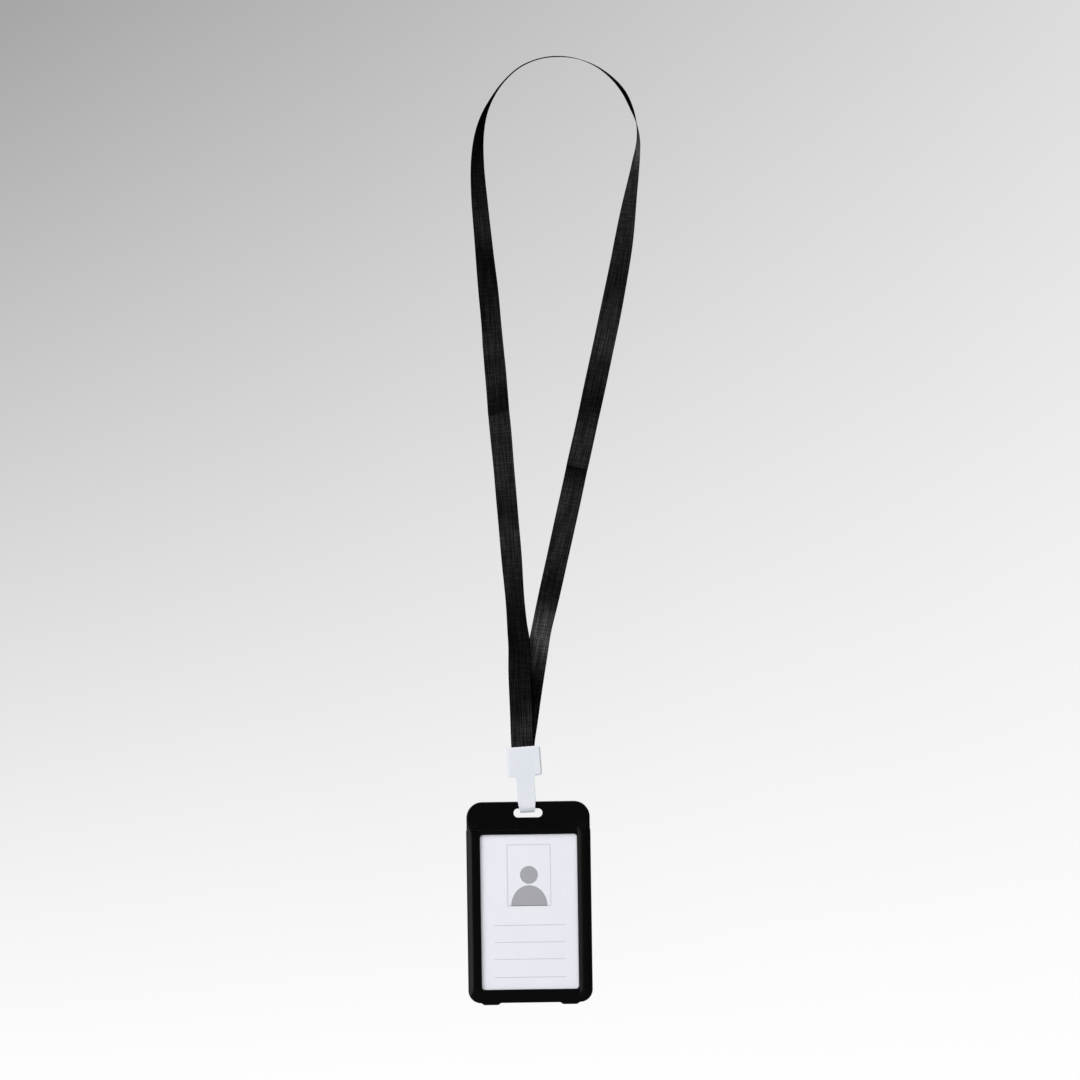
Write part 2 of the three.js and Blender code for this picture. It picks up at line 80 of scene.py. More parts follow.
CASE_ORIGIN = Vector(joint("case_swing")["pos_m"])        # middle of the bar above the slot
FLAP_PIVOT = Vector(joint("tongue_open")["pos_m"])
FLAP_AXIS = Vector(joint("tongue_open")["axis"])
PIVOT_DEPTH = 3.9 * MM                                     # the pivot's place in the clip's own frame
PIVOT_HEIGHT = 0.15 * MM
CLIP_TILT = math.atan2(FLAP_AXIS.z, -FLAP_AXIS.x)
CLIP_TURN = Matrix.Rotation(CLIP_TILT, 4, "Y")
CLIP_ORIGIN = FLAP_PIVOT - CLIP_TURN @ Vector((0, PIVOT_DEPTH, PIVOT_HEIGHT))
CLIP_FRAME = Matrix.Translation(CLIP_ORIGIN) @ CLIP_TURN
CASE_FRAME = Matrix.Translation(CASE_ORIGIN)


# ---------- camera ----------

CAMERA_DISTANCE = 4.514
CAMERA_LENS = 300
SENSOR_WIDTH = 36
CAMERA_ROLL = math.radians(-0.85)
AIM = (cad_low + cad_high) / 2 + Vector((-0.0070, 0, -0.0049))


def make_camera():
    data = bpy.data.cameras.new("camera")
    data.lens = CAMERA_LENS
    data.sensor_width = SENSOR_WIDTH
    camera = bpy.data.objects.new("camera", data)
    bpy.context.scene.collection.objects.link(camera)
    camera.location = (AIM.x, -CAMERA_DISTANCE, AIM.z)
    turn = Matrix.Rotation(math.radians(90), 4, "X") @ Matrix.Rotation(CAMERA_ROLL, 4, "Z")
    camera.rotation_euler = turn.to_euler()
    bpy.context.scene.camera = camera


# ---------- node materials ----------

class Look:
    """A material's node tree, built a node at a time."""

    def __init__(self, name):
        self.material = bpy.data.materials.new(name)
        self.material.use_nodes = True
        self.tree = self.material.node_tree
        self.shader = self.tree.nodes["Principled BSDF"]

    def node(self, kind, inputs=None, **settings):
        made = self.tree.nodes.new("ShaderNode" + kind)
        for key, value in settings.items():
            setattr(made, key, value)
        for key, value in (inputs or {}).items():
            self.feed(made.inputs[key], value)
        return made

    def feed(self, socket, value):
        if isinstance(value, bpy.types.NodeSocket):
            self.tree.links.new(value, socket)
        else:
            socket.default_value = value

    def set(self, **values):
        for key, value in values.items():
            self.feed(self.shader.inputs[key.replace("_", " ")], value)

    def math(self, operation, *values):
        made = self.node("Math", operation=operation)
        for socket, value in zip(made.inputs, values):
            self.feed(socket, value)
        return made.outputs[0]

    def noise(self, vector, scale, detail=3.0, roughness=0.5):
        inputs = {"Vector": vector, "Scale": scale, "Detail": detail, "Roughness": roughness}
        return self.node("TexNoise", inputs).outputs["Fac"]

    def stretched(self, vector, scale):
        made = self.node("Mapping", {"Vector": vector, "Scale": scale})
        return made.outputs["Vector"]

    def span(self, value, low, high):
        """value, which runs from 0 to 1, spread from low to high."""
        return self.node("MapRange", {"Value": value, "To Min": low, "To Max": high}).outputs["Result"]

    def between(self, value, start, end):
        """0 below start, 1 above end, and a smooth step between."""
        made = self.node("MapRange", {"Value": value, "From Min": start, "From Max": end})
        made.interpolation_type = "SMOOTHSTEP"
        return made.outputs["Result"]

    def colour(self, factor, *stops):
        """A colour ramp: each stop is (position, (r, g, b))."""
        made = self.node("ValToRGB", {"Fac": factor})
        elements = made.color_ramp.elements
        while len(elements) < len(stops):
            elements.new(0.5)
        for element, (position, colour) in zip(elements, stops):
            element.position = position
            element.color = (*colour, 1)
        return made.outputs["Color"]

    def bump(self, height, distance, strength):
        made = self.node("Bump", {"Height": height, "Distance": distance, "Strength": strength})
        return made.outputs["Normal"]

    def place(self):
        return self.node("TexCoord").outputs["Object"]

    def worn(self):
        """0 in the flats and hollows, 1 along outer edges."""
        return self.between(self.node("NewGeometry").outputs["Pointiness"], 0.53, 0.60)


def ribbon_look():
    """Black woven polyester: weft ribs across, warp yarns along, and no gloss; its colour carries painted
    light and shade down each leg.
    """
    look = Look("woven_polyester")
    weave = look.node("Attribute", attribute_name="weave", attribute_type="GEOMETRY").outputs["Vector"]
    # painted light and shade down each leg, stored on the ribbon, which scales the yarns' colour below
    painted_light = look.node("Attribute", attribute_name="painted_light", attribute_type="GEOMETRY").outputs["Fac"]
    place = look.place()
    split = look.node("SeparateXYZ", {"Vector": weave})
    across, along = split.outputs["X"], split.outputs["Y"]
    wobble = look.span(look.noise(look.stretched(weave, (0.5, 0.5, 1)), 1.0), -0.6, 0.6)
    rib_turns = look.math("MULTIPLY_ADD", along, 2 * math.pi / RIB_PITCH, wobble)
    ribs = look.math("MULTIPLY_ADD", look.math("SINE", rib_turns), 0.5, 0.5)
    yarn_turns = look.math("MULTIPLY_ADD", across, 2 * math.pi / YARN_PITCH, wobble)
    yarns = look.math("MULTIPLY_ADD", look.math("SINE", yarn_turns), 0.5, 0.5)
    strands = look.between(look.noise(look.stretched(weave, (1.3, 0.05, 1)), 1.0, 2.0), 0.36, 0.66)
    bars = look.between(look.noise(look.stretched(weave, (0.12, 1.1, 1)), 1.0, 2.0), 0.40, 0.66)
    patches = look.between(look.noise(place, 45.0, 2.0), 0.36, 0.64)
    crowns = look.math("MULTIPLY", look.math("MULTIPLY_ADD", ribs, 0.5, 0.5),
                       look.math("MULTIPLY_ADD", yarns, 0.6, 0.4))
    threads = look.math("MULTIPLY", look.math("MULTIPLY_ADD", strands, 0.6, 0.4),
                        look.math("MULTIPLY_ADD", bars, 0.4, 0.6))
    tone = look.math("MULTIPLY", look.math("MULTIPLY_ADD", crowns, 0.75, 0.25), threads)
    tone = look.math("MULTIPLY", tone, look.math("MULTIPLY_ADD", patches, 0.25, 0.75))
    height = look.math("MULTIPLY_ADD", threads, 0.5, crowns)
    colour = look.colour(tone, (0.0, (0.0026, 0.0026, 0.0027)), (0.15, (0.0060, 0.0060, 0.0061)),
                         (0.60, (0.0260, 0.0258, 0.0256)))
    # painted light and shade: the yarns' colour made lighter or darker down each leg
    colour = look.node("VectorMath", {"Vector": colour, "Scale": painted_light}, operation="SCALE").outputs["Vector"]
    look.set(Base_Color=colour, Roughness=look.span(tone, 0.55, 0.42), Specular_IOR_Level=0.0,
             Normal=look.bump(height, 0.00020, 0.8))
    return look.material


def white_plastic_look():
    """Satin white polypropylene with a faint flow mark and slightly polished edges."""
    look = Look("white_polypropylene")
    place = look.place()
    flow = look.noise(look.stretched(place, (60, 60, 22)), 1.0, 3.0)
    grain = look.noise(place, 5200.0, 2.0)
    colour = look.colour(flow, (0.3, (0.695, 0.720, 0.775)), (0.7, (0.745, 0.765, 0.815)))
    height = look.math("ADD", look.math("MULTIPLY", grain, 0.5), flow)
    polish = look.math("ADD", flow, look.math("MULTIPLY", look.worn(), -0.4))
    look.set(Base_Color=colour, Roughness=look.span(polish, 0.30, 0.46), Specular_IOR_Level=0.45,
             Subsurface_Weight=0.12, Subsurface_Scale=0.0015, Normal=look.bump(height, 0.00002, 0.5))
    return look.material


def black_plastic_look():
    """Satin black moulded plastic: fine spark texture, faint handling marks, worn edges."""
    look = Look("black_moulded_plastic")
    place = look.place()
    spark = look.noise(place, 3800.0, 3.0, 0.6)
    cloud = look.noise(place, 70.0, 4.0)
    scuffs = look.noise(look.stretched(place, (30, 30, 900)), 1.0, 2.0)
    marks = look.between(scuffs, 0.66, 0.78)
    edge = look.math("MULTIPLY", look.worn(), look.span(cloud, 0.2, 1.0))
    tone = look.math("ADD", look.math("MULTIPLY", cloud, 0.35), look.math("MULTIPLY", edge, 0.45))
    tone = look.math("ADD", tone, look.math("MULTIPLY", marks, 0.08))
    colour = look.colour(tone, (0.1, (0.0009, 0.0009, 0.0010)), (0.4, (0.0015, 0.0015, 0.0016)),
                         (0.9, (0.0090, 0.0090, 0.0094)))
    roughness = look.math("ADD", look.span(cloud, 0.26, 0.34), look.math("MULTIPLY", spark, 0.05))
    look.set(Base_Color=colour, Roughness=roughness, Specular_IOR_Level=0.075,
             Normal=look.bump(spark, 0.00003, 0.35))
    return look.material


def card_look():
    """Smooth white card with a faint bluish fibre mottle."""
    look = Look("card_stock")
    place = look.place()
    fibres = look.noise(look.stretched(place, (900, 900, 1600)), 1.0, 3.0)
    cloud = look.noise(place, 60.0, 2.0)
    tone = look.math("ADD", look.math("MULTIPLY", fibres, 0.4), look.math("MULTIPLY", cloud, 0.6))
    colour = look.colour(tone, (0.3, (0.790, 0.797, 0.850)), (0.7, (0.815, 0.819, 0.869)))
    look.set(Base_Color=colour, Roughness=look.span(fibres, 0.45, 0.58), Specular_IOR_Level=0.3,
             Normal=look.bump(fibres, 0.000003, 0.12))
    return look.material


def ink_look(name, dark, light):
    """Printed ink: a tone with the card's fine mottle showing through."""
    look = Look(name)
    fibres = look.noise(look.stretched(look.place(), (1500, 1500, 1500)), 1.0, 3.0)
    colour = look.colour(fibres, (0.25, dark), (0.75, light))
    look.set(Base_Color=colour, Roughness=look.span(fibres, 0.42, 0.55), Specular_IOR_Level=0.3,
             Normal=look.bump(fibres, 0.00001, 0.4))
    return look.material


def film_look():
    """Clear film. One plain Principled node, so that it stays clear wherever the model goes."""
    look = Look("clear_film")
    look.set(Base_Color=(0.92, 0.93, 0.97, 1), Roughness=0.12, Alpha=0.10)
    return look.material


# ---------- mesh building ----------

def new_object(name, vertices, faces):
    mesh = bpy.data.meshes.new(name)
    mesh.from_pydata([tuple(v) for v in vertices], [], faces)
    tidy = bmesh.new()
    tidy.from_mesh(mesh)
    bmesh.ops.remove_doubles(tidy, verts=tidy.verts, dist=1e-7)
    bmesh.ops.dissolve_degenerate(tidy, edges=tidy.edges, dist=1e-7)
    bmesh.ops.recalc_face_normals(tidy, faces=tidy.faces)
    tidy.to_mesh(mesh)
    tidy.free()
    obj = bpy.data.objects.new(name, mesh)
    bpy.context.scene.collection.objects.link(obj)
    return obj


def apply_modifiers(obj):
    bpy.context.view_layer.update()
    evaluated = obj.evaluated_get(bpy.context.evaluated_depsgraph_get())
    made = bpy.data.meshes.new_from_object(evaluated)
    obj.modifiers.clear()
    obj.data = made


def combine(obj, others, operation):
    """Cuts the others out of obj, or joins them to it, and removes them."""
    for other in others:
        step = obj.modifiers.new("combine", "BOOLEAN")
        step.operation = operation
        step.solver = "EXACT"
        step.object = other
        apply_modifiers(obj)
        bpy.data.objects.remove(other)


def finish_piece(obj, place, material, body, replaces=(), sharp_angle=32):
    """Moves a piece from its own frame to the part's, smooths it, and gives it a finish and a body."""
    obj.data.transform(place)
    shade(obj, sharp_angle)
    obj.data.materials.clear()
    obj.data.materials.append(material)
    if body:
        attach(obj, body)
    if replaces:
        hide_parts(*replaces)


def shade(obj, sharp_angle):
    obj.data.shade_smooth()
    obj.data.set_sharp_from_angle(angle=math.radians(sharp_angle))
    weighted = obj.modifiers.new("weighted_normals", "WEIGHTED_NORMAL")
    weighted.keep_sharp = True
    weighted.weight = 60


def grid_faces(rings, points, closed_rings=False, caps=True):
    """Quads between rings of points, each ring closed; flat caps at both ends unless the rings close too."""
    faces = []
    for ring in range(rings if closed_rings else rings - 1):
        here, after = ring * points, (ring + 1) % rings * points
        for i in range(points):
            j = (i + 1) % points
            faces.append((here + i, here + j, after + j, after + i))
    if caps and not closed_rings:
        faces.append(tuple(range(points))[::-1])
        faces.append(tuple(range((rings - 1) * points, rings * points)))
    return faces


def arc(centre, radius, start, end, steps):
    """Points on an arc, from start to end in degrees, both included."""
    angles = np.radians(np.linspace(start, end, steps + 1))
    return [(centre[0] + radius * math.cos(a), centre[1] + radius * math.sin(a)) for a in angles]


def rounded_loop(half_width, bottom, top, low_radius, high_radius, steps=(24, 10, 40)):
    """A rounded rectangle as a loop of (x, z) from the bottom's left end.

    Loops made with the same steps have matching points, whatever their sizes."""
    flat, turn, side = steps
    low, high = bottom + low_radius, top - high_radius
    right = [
        *zip(np.linspace(-half_width + low_radius, half_width - low_radius, flat + 1)[:-1], [bottom] * flat),
        *arc((half_width - low_radius, low), low_radius, -90, 0, turn)[:-1],
        *zip([half_width] * side, np.linspace(low, high, side + 1)[:-1]),
        *arc((half_width - high_radius, high), high_radius, 0, 90, turn)[:-1],
    ]
    left = [
        *zip(np.linspace(half_width - high_radius, -half_width + high_radius, flat + 1)[:-1], [top] * flat),
        *arc((-half_width + high_radius, high), high_radius, 90, 180, turn)[:-1],
        *zip([-half_width] * side, np.linspace(high, low, side + 1)[:-1]),
        *arc((-half_width + low_radius, low), low_radius, 180, 270, turn)[:-1],
    ]
    return np.array(right + left)


def circle_loop(centre, radius, steps=48):
    return np.array(arc(centre, radius, 0, 360, steps)[:-1])


def inset(loop, distance):
    """The loop moved inwards by a distance, square to its outline."""
    ahead, behind = np.roll(loop, -1, 0) - loop, loop - np.roll(loop, 1, 0)
    direction = ahead / np.maximum(np.linalg.norm(ahead, axis=1)[:, None], 1e-9)
    direction += behind / np.maximum(np.linalg.norm(behind, axis=1)[:, None], 1e-9)
    direction /= np.linalg.norm(direction, axis=1)[:, None]
    inward = np.stack([-direction[:, 1], direction[:, 0]], 1)
    return loop + inward * distance


def rim_steps(radius, steps=4):
    """A quarter round as (inset from the wall, drop from the face), from the wall to the face."""
    angles = np.linspace(0, math.pi / 2, steps + 1)
    return [(radius * (1 - math.cos(a)), radius * (1 - math.sin(a))) for a in angles]


def plate(name, loop, front, back, rim=0.0):
    """A flat plate with rounded rims, from a loop of (x, z)."""
    rims = rim_steps(rim) if rim else [(0, 0)]
    layers = [(d, front + drop) for d, drop in rims[::-1]] + [(d, back - drop) for d, drop in rims]
    vertices = [(x, y, z) for d, y in layers for x, z in (inset(loop, d) if d else loop)]
    return new_object(name, vertices, grid_faces(len(layers), len(loop)))


def holed_plate(name, outer, inner, front, back, outer_rim, inner_rim, steps=20):
    """A plate between two matching loops; front and back are its levels at x, z (arrays)."""
    reach = np.linalg.norm(inner - outer, axis=1)[:, None]
    towards = (inner - outer) / reach

    def rings(level, sign):
        rows = [(np.full_like(reach, d), drop) for d, drop in rim_steps(outer_rim)]
        for share in np.linspace(0, 1, steps + 1)[1:-1]:
            rows.append((outer_rim + (reach - outer_rim - inner_rim) * share, 0))
        rows += [(reach - d, drop) for d, drop in rim_steps(inner_rim)[::-1]]
        made = []
        for d, drop in rows:
            x, z = (outer + towards * d).T
            made.append(np.stack([x, level(x, z) + sign * drop, z], 1))
        return made

    all_rings = rings(front, 1) + rings(back, -1)[::-1]
    faces = grid_faces(len(all_rings), len(outer), closed_rings=True)
    return new_object(name, np.concatenate(all_rings), faces)


def level(value):
    """A flat level for holed_plate."""
    return lambda x, z: np.full_like(x, value)


def box_between(name, xs, ys, zs, rim=0.0):
    loop = np.array([(xs[0], zs[0]), (xs[1], zs[0]), (xs[1], zs[1]), (xs[0], zs[1])])
    return plate(name, loop, ys[0], ys[1], rim)


def smooth_max(a, b, width):
    """The larger of two levels, rounded where they cross."""
    h = np.clip(0.5 + 0.5 * (a - b) / width, 0, 1)
    return b + (a - b) * h + width * h * (1 - h)


def smooth_min(a, b, width):
    return -smooth_max(-a, -b, width)


def ease(t):
    return (1 - np.cos(np.clip(t, 0, 1) * math.pi)) / 2


# ---------- neck ribbon ----------

RIBBON_WIDTH = 0.011
RIBBON_THICKNESS = 0.00024
RIB_PITCH = 1.1       # of the weave, in millimetres, as its coordinates are
YARN_PITCH = 1.05

# The ribbon's middle line from its front end in the clip to its rear end: x, y, z, and its twist in degrees.
# At 0 its face looks outwards from the loop, at -90 that face looks to the back. Both legs turn that way: the
# loop is joined with a half turn.
RIBBON_ROUTE = [
    (-0.0220, -0.0010, -0.3569, -90), (-0.0227, -0.0010, -0.3454, -90),
    (-0.0231, -0.0010, -0.3280, -90), (-0.0236, -0.0011, -0.3080, -88),
    (-0.0235, -0.0012, -0.2940, -86), (-0.0244, -0.0012, -0.2840, -66),
    (-0.0252, -0.0012, -0.2720, -60), (-0.0269, -0.0010, -0.2470, -68),
    (-0.0323, -0.0005, -0.1715, -77), (-0.0360, -0.0002, -0.1210, -65), (-0.0381, 0, -0.0960, -55),
    (-0.0401, 0, -0.0710, -46), (-0.0408, 0, -0.0520, -37), (-0.0399, 0, -0.0395, -25),
    (-0.0376, 0, -0.0300, -14), (-0.0340, 0, -0.0220, -6), (-0.0280, 0, -0.0130, -2),
    (-0.0196, 0, -0.0052, 0.5), (-0.0100, 0, -0.0010, 2), (0, 0, 0.00025, 1), (0.0100, 0, -0.0010, 2),
    (0.0195, 0, -0.0049, 5), (0.0275, 0, -0.0112, 9.5), (0.0330, 0, -0.0180, 11.5),
    (0.0368, 0, -0.0260, 8.5), (0.0394, 0, -0.0345, 0), (0.0400, 0, -0.0430, -8),
    (0.0388, 0, -0.0520, -18), (0.0354, 0, -0.0720, -38), (0.0312, 0, -0.0970, -60),
    (0.0262, 0, -0.1220, -75), (0.0149, 0.0002, -0.1720, -80), (0.0032, 0.0003, -0.2220, -80),
    (-0.0086, 0.0005, -0.2720, -80), (-0.0126, 0.0006, -0.2890, -82), (-0.0169, 0.0005, -0.3120, -86),
    (-0.0202, 0.0001, -0.3330, -90), (-0.0220, -0.0002, -0.3455, -90),
    (-0.0214, -0.0002, -0.3569, -90),
]
STEPS_PER_STRETCH = 24
RING_GAP = 0.0012
EDGE_CURL = 0.0001
CURL_PITCH = 0.0065
PAINTED_LIGHT_SLANT = 0.3              # the painted light and shade marks lie a little askew across the ribbon
RIPPLE_TOP = -0.07
RIPPLE_BOTTOM = -0.33
RIPPLES = [(0.045, 0.0117, 1), (0.03, 0.0053, 2)]       # turn in radians, pitch, and the legs' shift
TURN_HEIGHT = -0.289            # where the right leg turns towards the left, and catches the light
TURN_REACH = 0.013
TURN_SIZE = 0.30
# Fold marks from the packing: height, how far the mark stands out, reach along the ribbon, slant, and leg.
CREASES = [
    (-0.1778, 0.0011, 0.0080, 0.05, "left"),
    (-0.2055, -0.0007, 0.0085, -0.35, "right"),
    (-0.1465, 0.0004, 0.0040, 0.5, "left"),
]

# How much lighter the yarns' colour is down each leg, as painted light and shade: height, painted light. It
# stands in for the light on the soft folds as the front view shows it, and changes suddenly at two of the
# fold marks.
PAINTED_FOLD_LIGHT = {
    "left": [
        (-0.014, 0.8), (-0.022, 0.1), (-0.044, 0.2), (-0.062, 0.7), (-0.084, 1.2), (-0.097, 0.5),
        (-0.116, 0.5), (-0.146, 1.2), (-0.152, 0.7), (-0.162, 1.2), (-0.168, 0.8), (-0.1778, 0.5),
        (-0.1784, 1.1), (-0.210, 1.7), (-0.228, 0.8), (-0.240, 1.6), (-0.270, 0.9), (-0.286, 0.5),
        (-0.300, 0.4), (-0.318, 0.5), (-0.328, 0.7), (-0.337, 1.6), (-0.345, 1.3),
    ],
    "right": [
        (-0.008, 0.6), (-0.014, 0.05), (-0.034, 0.1), (-0.046, 4.2), (-0.060, 1.3), (-0.085, 1.0),
        (-0.112, 0.6), (-0.146, 1.5), (-0.153, 0.8), (-0.174, 0.4), (-0.190, 1.2), (-0.2055, 1.3),
        (-0.2061, 0.2), (-0.218, 1.3), (-0.240, 1.2), (-0.264, 0.5), (-0.271, 0.5), (-0.283, 2.7),
        (-0.292, 3.6), (-0.300, 1.7), (-0.312, 0.3), (-0.320, 0.15), (-0.330, 0.4), (-0.345, 0.6),
    ],
}


def curve_point(a, b, c, d, t, power):
    """A point at t between b and c on a Catmull-Rom curve; power 0.25 is centripetal, 0 is uniform."""
    gaps = [max(float(np.sum((q - p) ** 2)) ** power, 1e-9) for p, q in ((a, b), (b, c), (c, d))]
    first, middle, last = gaps
    leave = ((b - a) / first - (c - a) / (first + middle) + (c - b) / middle) * middle
    arrive = ((c - b) / middle - (d - b) / (middle + last) + (d - c) / last) * middle
    square = 3 * (c - b) - 2 * leave - arrive
    cube = 2 * (b - c) + leave + arrive
    return b + leave * t + square * t ** 2 + cube * t ** 3


def along_route(values, power):
    """The route's values at every step, on a smooth curve through them all."""
    points = np.array(values, float)
    ends = [2 * points[0] - points[1], *points, 2 * points[-1] - points[-2]]
    made = [curve_point(*ends[i:i + 4], step / STEPS_PER_STRETCH, power)
            for i in range(len(points) - 1) for step in range(STEPS_PER_STRETCH)]
    return np.array([*made, points[-1]])


def even_steps(middle, twist):
    """The middle line and its twist at even steps, with the distance travelled to each."""
    travelled = np.concatenate([[0], np.cumsum(np.linalg.norm(np.diff(middle, axis=0), axis=1))])
    stops = np.linspace(0, travelled[-1], round(travelled[-1] / RING_GAP) + 1)
    even = np.stack([np.interp(stops, travelled, middle[:, axis]) for axis in range(3)], 1)
    return even, np.interp(stops, travelled, twist), stops


def ribbon_section():
    """Half the section's points as (across, depth): flat faces and a slightly thicker woven edge."""
    half, thick = RIBBON_WIDTH / 2, RIBBON_THICKNESS / 2
    edge = 0.0005
    face = [(u, thick) for u in np.linspace(-half + 2 * edge, half - 2 * edge, 11)]
    return [(-half, thick * 0.35), (-half + 0.2 * edge, thick * 0.95), (-half + edge, thick * 1.22), *face,
            (half - edge, thick * 1.22), (half - 0.2 * edge, thick * 0.95), (half, thick * 0.35)]


def painted_light_at(leg, z):
    """The painted light and shade on the yarns at a height, between the two nearest in the leg's list."""
    heights, values = zip(*PAINTED_FOLD_LIGHT[leg][::-1])
    return float(np.interp(z, heights, values))


def crease_depth(leg, z, across):
    """How far the face stands out at a fold mark: a soft tent with a sharp ridge."""
    depth = 0.0
    for height, size, reach, slant, crease_leg in CREASES:
        if leg == crease_leg:
            gap = abs(z - height - slant * across) / reach
            depth += size * math.exp(-gap)
    return depth


def face_turn(leg, z):
    """Slow uneven turning of the ribbon, in radians, with a wider turn low on the right leg."""
    if z > RIPPLE_TOP or z < RIPPLE_BOTTOM:
        return 0.0
    fade = math.sin((RIPPLE_TOP - z) / (RIPPLE_TOP - RIPPLE_BOTTOM) * math.pi)
    side = 1 if leg == "left" else -1
    turn = fade * sum(size * math.sin(z / pitch + shift * side) for size, pitch, shift in RIPPLES)
    if leg == "right":
        turn += TURN_SIZE * math.exp(-((z - TURN_HEIGHT) / TURN_REACH) ** 2)
    return turn


def make_strap(material):
    middle, twist, travelled = even_steps(along_route([p[:3] for p in RIBBON_ROUTE], 0.25),
                                          np.radians(along_route([[p[3]] for p in RIBBON_ROUTE], 0)[:, 0]))
    top = int(np.argmax(middle[:, 2]))
    legs = ["left" if i < top else "right" for i in range(len(middle))]
    twist += np.array([face_turn(leg, point[2]) for leg, point in zip(legs, middle)])
    tangent = np.gradient(middle, axis=0)
    tangent /= np.linalg.norm(tangent, axis=1)[:, None]
    outward = np.stack([-tangent[:, 2], np.zeros(len(tangent)), tangent[:, 0]], 1)
    outward /= np.linalg.norm(outward, axis=1)[:, None]
    to_viewer = np.array([0.0, -1.0, 0.0])
    face = np.cos(twist)[:, None] * outward + np.sin(twist)[:, None] * to_viewer
    across = -np.sin(twist)[:, None] * outward + np.cos(twist)[:, None] * to_viewer
    half_section = ribbon_section()
    section = half_section + [(u, -v) for u, v in half_section[::-1]]
    vertices, weave, painted_light = [], [], []
    for i, centre in enumerate(middle):
        for u, depth in section:
            fold = crease_depth(legs[i], centre[2], u)
            share = 2 * u / RIBBON_WIDTH
            curl = EDGE_CURL * math.sin(travelled[i] / CURL_PITCH + share) * share ** 2
            point = centre + across[i] * u + face[i] * (depth + fold + curl)
            vertices.append(point)
            weave.append((u / MM, travelled[i] / MM, math.copysign(1, depth)))
            # the painted light and shade at this point of the ribbon
            painted_light.append(painted_light_at(legs[i], point[2] + PAINTED_LIGHT_SLANT * u))
    strap = new_object("neck_ribbon", vertices, grid_faces(len(middle), len(section)))
    attribute = strap.data.attributes.new("weave", "FLOAT_VECTOR", "POINT")
    attribute.data.foreach_set("vector", np.array(weave, np.float32).ravel())
    attribute = strap.data.attributes.new("painted_light", "FLOAT", "POINT")
    attribute.data.foreach_set("value", np.array(painted_light, np.float32))
    finish_piece(strap, Matrix.Identity(4), material, "lanyard", ["strap"], sharp_angle=50)


# ---------- clip, in its own turned frame ----------

CLIP_HALF_WIDTH = 0.00875
CLIP_BOTTOM = 0.01455
CLIP_TOP = 0.02935
CLIP_CORNER = 0.0015
CLIP_FRONT = -0.0039
CLIP_SEAM = 0.0009
CLIP_LID_FRONT = 0.0010
CLIP_BACK = 0.0025
CLIP_WALL = 0.00165
MOUTH_HALF_WIDTH = 0.0063
MOUTH_FRONT = -0.0020
TONGUE_INNER = 0.0028
TONGUE_OUTER = 0.0039
TONGUE_HALF_WIDTH = 0.0046
TONGUE_NECK_HALF_WIDTH = 0.00365
TONGUE_NECK_TOP = 0.0029
TONGUE_MIDDLE = (TONGUE_INNER + TONGUE_OUTER) / 2
TONGUE_RIM = 0.0002
TIP_NARROWING = 0.0006          # of the half width, at the very bottom of the bend
TIP_REACH = 0.0016
STUD_HEIGHT = 0.0196
SEAM_ANGLE = 305                # where the tongue's front piece hands over to the hinged one, behind the bend
# How far a bevelled side has come inwards, and how far it has risen by there.
BEVEL_PROFILE = [(0, 0), (0.04, 0.16), (0.16, 0.34), (0.5, 0.66), (0.85, 0.935), (0.95, 0.985), (1, 1)]
# The snap stud's radius and level, from its foot to its flat end: a neck, a wider head and a rounded rim.
STUD_PROFILE = [(0.0015, CLIP_BACK - 0.0003), (0.0015, 0.0038), (0.00165, 0.00405), (0.0018, 0.0042),
                (0.0018, 0.00455), (0.00168, 0.00475), (0.00145, 0.00487), (0.0011, 0.0049)]


def clip_loop():
    return rounded_loop(CLIP_HALF_WIDTH, CLIP_BOTTOM, CLIP_TOP, CLIP_CORNER, CLIP_CORNER, (8, 8, 8))


def clip_box():
    """The front shell: a flat face with a wide soft bevel on the left and narrow ones on its other sides."""
    left_bevel, right_bevel, end_bevel = 0.0016, 0.0008, 0.0009
    left_depth, right_depth = 0.00018, 0.0007
    outer = clip_loop()
    face = rounded_loop(CLIP_HALF_WIDTH - (left_bevel + right_bevel) / 2, CLIP_BOTTOM + end_bevel,
                        CLIP_TOP - end_bevel, 0.0005, 0.0005, (8, 8, 8))
    face += ((left_bevel - right_bevel) / 2, 0)
    deep = np.interp(outer[:, 0], (-CLIP_HALF_WIDTH, CLIP_HALF_WIDTH), (left_depth, right_depth))
    layers = []
    for inward, risen in BEVEL_PROFILE:
        layer = outer + (face - outer) * inward
        layers.append([(x, CLIP_FRONT + d * (1 - risen), z) for (x, z), d in zip(layer, deep)])
    layers = layers[::-1] + [[(x, CLIP_SEAM, z) for x, z in outer]]
    return new_object("clip_box", [p for layer in layers for p in layer], grid_faces(len(layers), len(outer)))


def tongue_half_width(z):
    """It widens from the neck upwards, and narrows again at the bottom of the bend."""
    rise = min(max((z + TONGUE_OUTER) / (TONGUE_NECK_TOP + TONGUE_OUTER), 0), 1)
    narrower = TIP_NARROWING * max(0.0, 1 - (z + TONGUE_OUTER) / TIP_REACH) ** 2
    return TONGUE_NECK_HALF_WIDTH + (TONGUE_HALF_WIDTH - TONGUE_NECK_HALF_WIDTH) * rise - narrower


